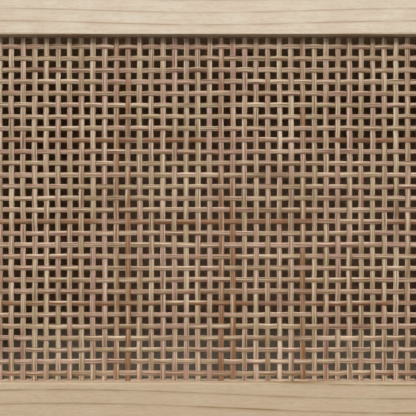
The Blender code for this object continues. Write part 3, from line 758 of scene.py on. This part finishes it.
BROWN_CANE = (0.170, 0.080, 0.034)
STAINED_CANE = (0.272, 0.112, 0.036)
UPRIGHT_SHARE = 0.92
# The level strands take a darker, browner share of the same cane colours than the uprights: painted shade.
LEVEL_SHADED_SHARE = (0.875, 0.843, 0.82)
UPRIGHT_FIBRES = 1550.0
LEVEL_FIBRES = 1250.0
GIRTHS = (0.94, 1.06)
PLAIN_STAIN = 0.45


def strands(name, node, lengthwise, crosswise, start, width, seed, brown):
    """A row of strands through the panel, bent over and under those that cross them."""
    low, high, middle = extent(node)
    first = math.ceil((low[crosswise] + width / 2 - start[crosswise]) / CANE_PITCH)
    last = math.floor((high[crosswise] - width / 2 - start[crosswise]) / CANE_PITCH)
    count = last - first + 1
    middle[crosswise] = start[crosswise] + first * CANE_PITCH
    size = Vector((width, STRAND_THICKNESS, width))
    size[lengthwise] = high[lengthwise] - low[lengthwise]
    piece = blank(name, middle - size / 2, middle + size / 2)
    bpy.ops.object.mode_set(mode="EDIT")
    pitches = round(size[lengthwise] / CANE_PITCH)
    cutting = ((crosswise, CUTS_ACROSS), (lengthwise, RINGS_IN_A_PITCH - 1), (lengthwise, pitches - 1))
    for axis, cuts in cutting:
        select_edges(piece, lambda edge: runs(edge, axis))
        bpy.ops.mesh.subdivide(number_cuts=cuts)
    bpy.ops.object.mode_set(mode="OBJECT")
    row = piece.modifiers.new("row", "ARRAY")
    row.count = count
    row.use_relative_offset = False
    row.use_constant_offset = True
    row.constant_offset_displace = [CANE_PITCH * (axis == crosswise) for axis in range(3)]
    bpy.ops.object.modifier_apply(modifier=row.name)

    mesh = piece.data
    places = np.empty(3 * len(mesh.vertices))
    mesh.vertices.foreach_get("co", places)
    places = places.reshape(-1, 3)
    straight = mesh.attributes.new("straight", "FLOAT_VECTOR", "POINT")
    straight.data.foreach_set("vector", places.ravel())
    number = np.rint((places[:, crosswise] - start[crosswise]) / CANE_PITCH).astype(int)
    strand = number - first
    chance = np.random.default_rng(seed)
    run = places[:, lengthwise].copy()
    centre = start[crosswise] + number * CANE_PITCH
    girth = chance.uniform(*GIRTHS, count)[strand] * width / 2
    aside = (places[:, crosswise] - centre) / width * 2
    if lengthwise == ALONG_Z:
        aside = np.sin(aside * math.pi / 2)
    crown = LEVEL_CROWN if lengthwise == ALONG_X else UPRIGHT_CROWN
    places[:, crosswise] = centre + aside * girth
    places[:, 1] = middle.y + (places[:, 1] - middle.y) * (1 - crown * np.abs(aside) ** 3)
    if crosswise == ALONG_Z:
        places[number == PUSHED_LEVEL, crosswise] += PUSH
    for length, reach in WANDER:
        phase = chance.uniform(0.0, math.tau, count)[strand]
        places[:, crosswise] += reach * np.sin(math.tau * run / length + phase)
    over = np.cos(math.pi * ((run - start[lengthwise]) / CANE_PITCH + number))
    places[:, 1] += over * (LEVEL_RISE if lengthwise == ALONG_X else -UPRIGHT_RISE)
    mesh.vertices.foreach_set("co", places.ravel())
    mesh.update()

    tones = chance.uniform(0.0, 1.0, (count, 3))
    tones[:, 1] *= PLAIN_STAIN
    for dark in brown:
        tones[dark - first, 1] = 1.0
    strand_tone = mesh.attributes.new("strand_tone", "FLOAT_VECTOR", "POINT")
    strand_tone.data.foreach_set("vector", tones[strand].ravel())
    return smooth(piece)


def cane(name, grain, share, fibres):
    """Rattan core: khaki to pinkish lengths, with darker and paler fibres along them."""
    material, wire = begin(name)
    place = wire.node("Attribute", {"attribute_name": "straight"}, output="Vector")
    tone = wire.node("Attribute", {"attribute_name": "strand_tone"}, output="Vector")
    warm = wire.node("SeparateXYZ", {}, {0: tone})
    brown, light = warm.also(1), warm.also(2)

    def streaks(lengthwise, crosswise):
        return grained(wire, place, grain, lengthwise, crosswise)

    cloud = streaks(34.0, 560.0).ramp((0.4, 0.0), (0.6, 1.0))
    hue = (warm * 0.4 + cloud - 0.2).ramp((0.0, 0.0), (1.0, 1.0))
    colour = hue.colours(tint(KHAKI_CANE, share), tint(PINK_CANE, share))
    lines = streaks(24.0, fibres)
    patchy = streaks(45.0, 240.0).ramp((0.4, 0.25), (0.58, 1.0))
    pale = lines.ramp((0.51, 0.0), (0.59, 0.9))
    dark = lines.ramp((0.40, 1.0), (0.47, 0.0)) * patchy
    stain = streaks(26.0, 800.0).ramp((0.40, 0.2), (0.54, 1.0)) * brown
    colour = stain.colours(colour, tint(STAINED_CANE, share))
    colour = (pale * (light * 0.25 + 0.75) * (stain * -0.8 + 1.0)).colours(colour, tint(PALE_CANE, share))
    colour = (dark * 0.9).colours(colour, tint(BROWN_CANE, share))
    coat(wire, colour, dark * 0.15 + 0.44, pale - dark, strength=0.45, distance=0.0002)
    return material


upright_finish = cane("upright_cane", ALONG_Z, UPRIGHT_SHARE, UPRIGHT_FIBRES)
# The level strands' cane is a darker, browner copy of the uprights' cane: painted shade.
level_finish = cane("level_cane", ALONG_X, LEVEL_SHADED_SHARE, LEVEL_FIBRES)
for seed, (hand, side) in enumerate(HANDS):
    node = f"{hand}_door_cane_panel"
    start = Vector((-side * FIRST_UPRIGHT_X, 0.0, FIRST_LEVEL_Z))
    uprights = strands(
        f"{hand}_door_upright_strands", node, ALONG_Z, ALONG_X,
        start, UPRIGHT_WIDTH, 11 + seed, BROWN_UPRIGHTS,
    )
    dress(uprights, upright_finish, [node])
    levels = strands(
        f"{hand}_door_level_strands", node, ALONG_X, ALONG_Z,
        start, LEVEL_WIDTH, 21 + seed, BROWN_LEVELS,
    )
    dress(levels, level_finish, [node])

# Beads
# Four slim pine beads behind the cane press it into the rebate and close the door's back.
# Steel brads hold them, with their small round heads punched flush.
BRAD_HEAD = 0.0009
BRAD_LENGTH = 0.008
BRAD_SPACING = 0.075
BRAD_INSET = 0.012
BEAD_HEART_ASIDE = 0.13
BEAD_HEART_DEPTH = 0.03
BEAD_DRIFT = 0.003

brad = smooth(turned("brad_model", [
    (BRAD_HEAD * 0.2, -BRAD_LENGTH),
    (BRAD_HEAD * 0.6, -BRAD_LENGTH + BRAD_HEAD),
    (BRAD_HEAD * 0.6, -BRAD_HEAD * 0.5),
    (BRAD_HEAD, 0.0),
    (BRAD_HEAD * 0.8, BRAD_HEAD * 0.15),
], (0, 0, 0), sides=12))
for seed, hand in enumerate(("left", "right")):
    for number, (bead, axis) in enumerate((
        ("top_bead", ALONG_X), ("bottom_bead", ALONG_X), ("hinge_bead", ALONG_Z), ("lock_bead", ALONG_Z),
    )):
        node = f"{hand}_door_{bead}"
        low, high, middle = extent(node)
        across = ALONG_Z - axis
        heart = (middle[across] + BEAD_HEART_ASIDE, middle.y + BEAD_HEART_DEPTH)
        chance = 9.0 + seed + 0.3 * number
        planed(node, pine(f"{node}_pine", axis, across, heart, drift=BEAD_DRIFT, seed=chance))
        length = high[axis] - low[axis]
        count = round(length / BRAD_SPACING) + 1
        spots = []
        for i in range(count):
            spot = Vector((middle.x, high.y, middle.z))
            spot[axis] = low[axis] + BRAD_INSET + i * (length - 2 * BRAD_INSET) / (count - 1)
            spots.append(spot)
        brads = driven(f"{node}_brads", brad, spots, (0, 1, 0))
        dress(brads, zinc, body=f"{hand}_door")

# Knobs
# A small turned pine knob on each lock stile, its end grain to the front.
# A zinc-plated machine screw through the stile from behind holds it.
KNOB_BASE_RADIUS = 0.009
KNOB_NECK_RADIUS = 0.0065
KNOB_NECK_DISTANCE = 0.007
KNOB_RIM = 0.0035
KNOB_DOME = 0.0035
KNOB_FOOT = 0.0012
KNOB_FOOT_CHAMFER = 0.0004
KNOB_HEART_ASIDE = 0.006
KNOB_HEART_BELOW = 0.024
KNOB_RING = 0.0034
KNOB_DRIFT = 0.002
KNOB_SCREW_RADIUS = 0.002
KNOB_SCREW_HEAD = 0.0022
KNOB_SCREW_CLEARANCE = 0.0003
KNOB_SCREW_POINT = 0.0006
CURVE_STEPS = 7


def eased_run(first, last, steps=CURVE_STEPS):
    """(radius, height) points from one to another on an S-shaped curve, without the first."""
    points = []
    for i in range(1, steps + 1):
        share = i / steps
        bend = share * share * (3 - 2 * share)
        points.append((first[0] + (last[0] - first[0]) * bend, first[1] + (last[1] - first[1]) * share))
    return points


for seed, (hand, side) in enumerate(HANDS):
    node = f"{hand}_door_knob"
    low, high, middle = extent(node)
    radius = (high.x - low.x) / 2
    length = high.y - low.y
    crown = length - KNOB_DOME
    bore = KNOB_SCREW_RADIUS + KNOB_SCREW_CLEARANCE
    bore_end = high.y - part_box(f"{node}_screw")[0].y + KNOB_SCREW_CLEARANCE
    base = (KNOB_BASE_RADIUS, KNOB_FOOT)
    neck = (KNOB_NECK_RADIUS, KNOB_NECK_DISTANCE)
    rim = (radius, crown - KNOB_RIM * 0.6)
    profile = [
        (bore, bore_end),
        (bore, 0.0),
        (KNOB_BASE_RADIUS - KNOB_FOOT_CHAMFER, 0.0),
        base,
        *eased_run(base, neck),
        *eased_run(neck, rim),
    ]
    for i in range(1, CURVE_STEPS + 1):
        turn = i / (CURVE_STEPS + 0.5) * math.pi / 2
        profile.append((radius * math.cos(turn) ** 0.6, rim[1] + (length - rim[1]) * math.sin(turn)))
    profile.append((radius * 0.02, length))
    knob = turned(f"{node}_turned", profile, (middle.x, high.y, middle.z), (0, -1, 0), sides=64)
    heart = (middle.x + KNOB_HEART_ASIDE * side, middle.z - KNOB_HEART_BELOW)
    finish = pine(f"{node}_pine", ALONG_Y, ALONG_X, heart, KNOB_RING, drift=KNOB_DRIFT, seed=3.9 + seed)
    dress(smooth(knob), finish, [node])

    node = f"{node}_screw"
    low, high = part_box(node)
    head = (high.x - low.x) / 2
    length = high.y - low.y
    under = length - KNOB_SCREW_HEAD
    profile = [
        (KNOB_SCREW_RADIUS * 0.7, 0.0),
        (KNOB_SCREW_RADIUS, KNOB_SCREW_POINT),
        (KNOB_SCREW_RADIUS, under),
        (head, under),
        (head, under + KNOB_SCREW_HEAD * 0.4),
        (head * 0.86, under + KNOB_SCREW_HEAD * 0.78),
        (head * 0.5, length),
    ]
    screw = turned(f"{node}_turned", profile, (middle.x, low.y, middle.z), (0, 1, 0), sides=32)
    cross_slot(screw, Vector((middle.x, high.y, middle.z)), ALONG_Y, head * 0.55, KNOB_SCREW_HEAD * 0.5)
    dress(smooth(screw), zinc, [node])

# Hinges
# Two solid brass butt hinges to a door, their leaves let into the gap beside the hinge stile.
# The barrel stands before the front, and a pin with a round head runs down it.
# Three countersunk screws hold each leaf.
BRASS = (0.72, 0.515, 0.235)
LEAF_THICKNESS = 0.0012
LEAF_CLEARANCE = 0.00015
LEAF_CORNER = 0.0022
KNUCKLE_RADIUS = 0.0025
KNUCKLE_GAP = 0.0003
KNUCKLE_CHAMFER = 0.0002
TAB_INSET = 0.0003
TAB_BITE = 0.001
PIN_HOLE_RADIUS = 0.00145
PIN_HOLE_OVERRUN = 0.002
HINGE_PIN_RADIUS = 0.00125
HINGE_PIN_POINT = 0.0004
HINGE_PIN_HEAD = 0.0012
HINGE_PIN_HEAD_RIM = 0.0004
HINGE_PIN_HEAD_SHOULDER = 0.0009
HINGE_SCREW_HEAD = 0.0027
HINGE_SCREW_RIM = 0.00015
HINGE_SCREW_SHANK = 0.0013
HINGE_SCREW_LENGTH = 0.010
HINGE_SCREW_STRAIGHT = 0.007
HINGE_SCREW_SLOT = 0.0007
HINGE_SCREW_SPOTS = ((0.0065, -0.0175), (0.0115, 0.0), (0.0065, 0.0175))
SINK_DEPTH = 0.0017
SINK_SHANK_CLEARANCE = 0.0001
SINK_HEAD_CLEARANCE = 0.0002
SINK_OVERRUN = 0.0002
SCREW_SUNK = 0.00008

brass = metal("solid_brass", BRASS, 0.24, 0.40, ALONG_Z)
hinge_axis = Vector(frame["joints"][0]["pos_m"])
front_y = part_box("left_side_panel")[0].y
low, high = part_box("left_upper_hinge_leaf")
hinge_height = high.z - low.z
hinge_middle = (low.z + high.z) / 2
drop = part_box("left_lower_hinge_leaf")[0].z - low.z
hinge_screw = turned("hinge_screw_model", [
    (HINGE_SCREW_SHANK * 0.3, -HINGE_SCREW_LENGTH),
    (HINGE_SCREW_SHANK, -HINGE_SCREW_STRAIGHT),
    (HINGE_SCREW_SHANK, -LEAF_THICKNESS),
    (HINGE_SCREW_HEAD, -HINGE_SCREW_RIM),
    (HINGE_SCREW_HEAD, 0.0),
], (0, 0, 0), sides=24)
smooth(cross_slot(hinge_screw, Vector(), ALONG_Z, HINGE_SCREW_HEAD * 0.6, HINGE_SCREW_SLOT))


def countersink(piece, spot, way):
    """Sinks a coned hole for a screw into a plate, from a spot on its face that looks along way."""
    cone = [
        (HINGE_SCREW_SHANK + SINK_SHANK_CLEARANCE, -SINK_DEPTH),
        (HINGE_SCREW_HEAD + SINK_HEAD_CLEARANCE, 0.0),
        (HINGE_SCREW_HEAD + SINK_HEAD_CLEARANCE, SINK_OVERRUN),
    ]
    return combine(piece, "DIFFERENCE", turned("countersink", cone, spot, way, sides=24))


def leaf(name, node, way, thirds):
    """A leaf of the upper left hinge, on the side of the axis that way points to, and its screws.

    Its knuckles lie at the given thirds of its height.
    """
    rear_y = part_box(node)[1].y
    inner = hinge_axis.x + way * LEAF_CLEARANCE
    left, right = sorted((inner, inner + way * LEAF_THICKNESS))
    bottom = hinge_middle - hinge_height / 2
    top = hinge_middle + hinge_height / 2
    foot = (hinge_axis.x, hinge_axis.y, 0.0)
    piece = blank(name, (left, front_y, bottom), (right, rear_y, top))
    round_corners(piece, ALONG_X, LEAF_CORNER, wanted=lambda edge: edge.verts[0].co.y > front_y + SAME_POINT)
    for number in thirds:
        start = bottom + number * hinge_height / 3 + KNUCKLE_GAP / 2
        end = start + hinge_height / 3 - KNUCKLE_GAP
        tab_low = (left, hinge_axis.y, start + TAB_INSET)
        tab_high = (right, front_y + TAB_BITE, end - TAB_INSET)
        combine(piece, "UNION", blank("tab", tab_low, tab_high))
        profile = [
            (KNUCKLE_RADIUS - KNUCKLE_CHAMFER, start),
            (KNUCKLE_RADIUS, start + KNUCKLE_CHAMFER),
            (KNUCKLE_RADIUS, end - KNUCKLE_CHAMFER),
            (KNUCKLE_RADIUS - KNUCKLE_CHAMFER, end),
        ]
        combine(piece, "UNION", turned("knuckle", profile, foot, sides=40))
    bore = [(PIN_HOLE_RADIUS, bottom - PIN_HOLE_OVERRUN), (PIN_HOLE_RADIUS, top + PIN_HOLE_OVERRUN)]
    combine(piece, "DIFFERENCE", turned("bore", bore, foot, sides=32))
    spots = [Vector((inner, front_y + depth, hinge_middle + rise)) for depth, rise in HINGE_SCREW_SPOTS]
    for spot in spots:
        countersink(piece, spot, (-way, 0, 0))
    sunk = [spot + Vector((way * SCREW_SUNK, 0.0, 0.0)) for spot in spots]
    return smooth(piece), driven(f"{name}_screws", hinge_screw, sunk, (-way, 0, 0))


def twin(source, name, rise=0.0, mirrored=False):
    """A copy of a finished piece with its own mesh, lower or higher, or turned over to the right side."""
    piece = bpy.data.objects.new(name, source.data.copy())
    bpy.context.scene.collection.objects.link(piece)
    piece.scale.x = -1.0 if mirrored else 1.0
    piece.location.z = rise
    take(piece)
    bpy.ops.object.transform_apply(location=True, rotation=True, scale=True)
    if mirrored:
        bpy.ops.object.mode_set(mode="EDIT")
        bpy.ops.mesh.select_all(action="SELECT")
        bpy.ops.mesh.normals_make_consistent(inside=False)
        bpy.ops.object.mode_set(mode="OBJECT")
    return smooth(piece)


first_leaves = {
    "": leaf("first_leaf", "left_upper_hinge_leaf", -1, (0, 2)),
    "_door": leaf("first_door_leaf", "left_door_upper_hinge_leaf", 1, (1,)),
}
for hand in ("left", "right"):
    for level, rise in (("upper", 0.0), ("lower", drop)):
        for carrier, (plate, screws) in first_leaves.items():
            node = f"{hand}{carrier}_{level}_hinge_leaf"
            piece = twin(plate, f"{node}_brass", rise, hand == "right")
            dress(piece, brass, [node])
            piece = twin(screws, f"{node}_screws", rise, hand == "right")
            dress(piece, brass, body=f"{hand}_door" if carrier else "cabinet")
        node = f"{hand}_{level}_hinge_pin"
        low, high, middle = extent(node)
        cap = (high.x - low.x) / 2
        seat = high.z - HINGE_PIN_HEAD
        profile = [
            (HINGE_PIN_RADIUS * 0.7, low.z),
            (HINGE_PIN_RADIUS, low.z + HINGE_PIN_POINT),
            (HINGE_PIN_RADIUS, seat),
            (cap, seat),
            (cap, seat + HINGE_PIN_HEAD_RIM),
            (cap * 0.8, seat + HINGE_PIN_HEAD_SHOULDER),
            (cap * 0.4, high.z),
        ]
        pin = turned(f"{node}_turned", profile, (middle.x, middle.y, 0.0), sides=32)
        dress(smooth(pin), brass, [node])
for plate, screws in first_leaves.values():
    bpy.data.objects.remove(plate)
    bpy.data.objects.remove(screws)

# Catches
# A magnetic catch of brown plastic under the top, with two steel poles at its nose, screwed up from below.
# It holds a small zinc-plated strike plate on the back of the door.
CATCH_EASING = 0.0007
POLE_LENGTH = 0.025
POLE_HEIGHT = 0.0016
POLE_DEPTH = 0.0040
POLE_SPACING = 0.0044
POLE_PROUD = 0.00015
POLE_EASING = 0.0002
CATCH_SCREW_HEAD = 0.0030
CATCH_SCREW_SHANK = 0.0015
CATCH_SCREW_LENGTH = 0.010
CATCH_SCREW_SPACING = 0.027
CATCH_SCREW_SETBACK = 0.001
STRIKE_CORNER = 0.0022
STRIKE_EASING = 0.0002

catch_screw = pan_screw("catch_screw_model", CATCH_SCREW_HEAD, CATCH_SCREW_SHANK, CATCH_SCREW_LENGTH)
for hand in ("left", "right"):
    node = f"{hand}_magnetic_catch"
    low, _, middle = extent(node)
    body = solid_copy(node, f"{node}_moulded")
    bpy.ops.object.mode_set(mode="OBJECT")
    dress(eased(body, CATCH_EASING, 3), plastic, [node])
    for name, offset in (("upper", POLE_SPACING / 2), ("lower", -POLE_SPACING / 2)):
        z = middle.z + offset
        pole = blank(
            f"{hand}_catch_{name}_pole",
            (middle.x - POLE_LENGTH / 2, low.y - POLE_PROUD, z - POLE_HEIGHT / 2),
            (middle.x + POLE_LENGTH / 2, low.y + POLE_DEPTH, z + POLE_HEIGHT / 2),
        )
        dress(eased(pole, POLE_EASING), zinc, body="cabinet")
    half = CATCH_SCREW_SPACING / 2
    spots = [(middle.x + i * half, middle.y + CATCH_SCREW_SETBACK, low.z) for i in (-1, 1)]
    dress(driven(f"{hand}_catch_screws", catch_screw, spots, (0, 0, -1)), zinc, body="cabinet")

    node = f"{hand}_door_strike_plate"
    low, high, middle = extent(node)
    strike = round_corners(blank(f"{node}_pressed", low, high), ALONG_Y, STRIKE_CORNER)
    spot = Vector((middle.x, high.y, middle.z))
    countersink(strike, spot, (0, 1, 0))
    dress(eased(strike, STRIKE_EASING), zinc, [node])
    sunk = [spot - Vector((0.0, SCREW_SUNK, 0.0))]
    dress(driven(f"{node}_screw", hinge_screw, sunk, (0, 1, 0)), zinc, body=f"{hand}_door")

for model in (plate_screw, brad, hinge_screw, catch_screw):
    bpy.data.objects.remove(model)

# Stage
# A plain pale floor under a soft studio light, with a key lamp above the front and weaker lamps all round.
# The camera stands straight before the left door, close to its cane.
FLOOR_SIZE = 80.0
FLOOR_GREY = (0.62, 0.615, 0.60)
BLACK = (0.0, 0.0, 0.0, 1.0)
BACKDROP = (0.92, 0.92, 0.915, 1.0)
FADE_START = 1.3
FADE_END = 4.5
SKY_LIGHT = 1.05
SKY_LEAN = 0.8
ROOM_LIGHT = 0.1
SKY_TONE = (1.0, 0.99, 0.97, 1.0)
ROOM_TONE = (1.0, 0.87, 0.68, 1.0)
LAMP_TONE = (1.0, 0.985, 0.96)
CAMERA_PLACE = (VIEW_X, -0.504, 0.31247)
CAMERA_LENS = 49.6

bpy.ops.object.select_all(action="DESELECT")
bpy.ops.mesh.primitive_plane_add(size=FLOOR_SIZE, location=(0, 0, 0))
floor = bpy.context.object
floor.name = "floor"
material, wire = begin("pale_floor")
place = wire.node("TexCoord", output="Object")
cloud = wire.node("TexNoise", {}, {"Vector": place, "Scale": 1.5, "Detail": 2.0})
far = wire.node("VectorMath", {"operation": "LENGTH"}, {0: place}, output="Value") / FADE_END
fade = far.ramp((FADE_START / FADE_END, 0.0), (1.0, 1.0))
colour = fade.colours(cloud.colours(tint(FLOOR_GREY, 0.98), tint(FLOOR_GREY, 1.02)), BLACK)
glow = {"Emission Color": fade.colours(BLACK, BACKDROP), "Emission Strength": 1.0, "Specular IOR Level": 0.0}
coat(wire, colour, 0.75, **glow)
floor.data.materials.append(material)
floor.visible_diffuse = False

world = bpy.data.worlds.new("studio")
bpy.context.scene.world = world
world.use_nodes = True
world.node_tree.nodes.clear()
wire = Wire(world.node_tree)
path = wire.node("LightPath", output="Is Camera Ray")
seen = path.math("MAXIMUM", path.also("Is Glossy Ray")).math("MAXIMUM", path.also("Is Transmission Ray"))
way = wire.node("SeparateXYZ", {}, {0: wire.node("TexCoord", output="Generated")})
rise, depth = way.also(2), way.also(1)
strength = rise.math("MAXIMUM", 0.0) * (depth * -SKY_LEAN + 1.0) * SKY_LIGHT + ROOM_LIGHT
hue = rise.ramp((0.0, 0.0), (0.3, 1.0)).colours(ROOM_TONE, SKY_TONE)
ambient = wire.node("Background", {}, {"Color": hue, "Strength": strength})
backdrop = wire.node("Background", {}, {"Color": BACKDROP, "Strength": 1.0})
mixed = wire.node("MixShader", {}, {0: seen, 1: ambient, 2: backdrop})
wire.node("OutputWorld", {}, {"Surface": mixed})

for name, place, aim, power, width in (
    ("key", (-0.44, -1.88, 1.56), (-0.45, -0.19, 0.31), 19.5, 0.3),
    ("fill", (-1.0, -4.4, 0.62), (-0.4, 0.0, 0.3), 19.5, 1.0),
    ("rear", (0.6, 2.4, 1.8), (0.0, 0.2, 0.3), 30.0, 1.8),
    ("left", (-3.0, 0.35, 1.5), (-0.75, 0.0, 0.3), 13.0, 1.0),
    ("right", (3.0, 0.35, 1.5), (0.75, 0.0, 0.3), 13.0, 1.0),
):
    lamp = bpy.data.lights.new(name, "AREA")
    lamp.energy = power
    lamp.size = width
    lamp.color = LAMP_TONE
    stand = bpy.data.objects.new(name, lamp)
    stand.location = place
    stand.rotation_euler = (Vector(aim) - Vector(place)).to_track_quat("-Z", "Y").to_euler()
    stand.visible_camera = False
    bpy.context.scene.collection.objects.link(stand)

camera = bpy.data.objects.new("camera", bpy.data.cameras.new("camera"))
camera.location = CAMERA_PLACE
camera.rotation_euler = (math.pi / 2, 0.0, 0.0)
camera.data.lens = CAMERA_LENS
camera.data.clip_start = 0.01
bpy.context.scene.collection.objects.link(camera)
bpy.context.scene.camera = camera
bpy.context.scene.view_settings.view_transform = "Standard"
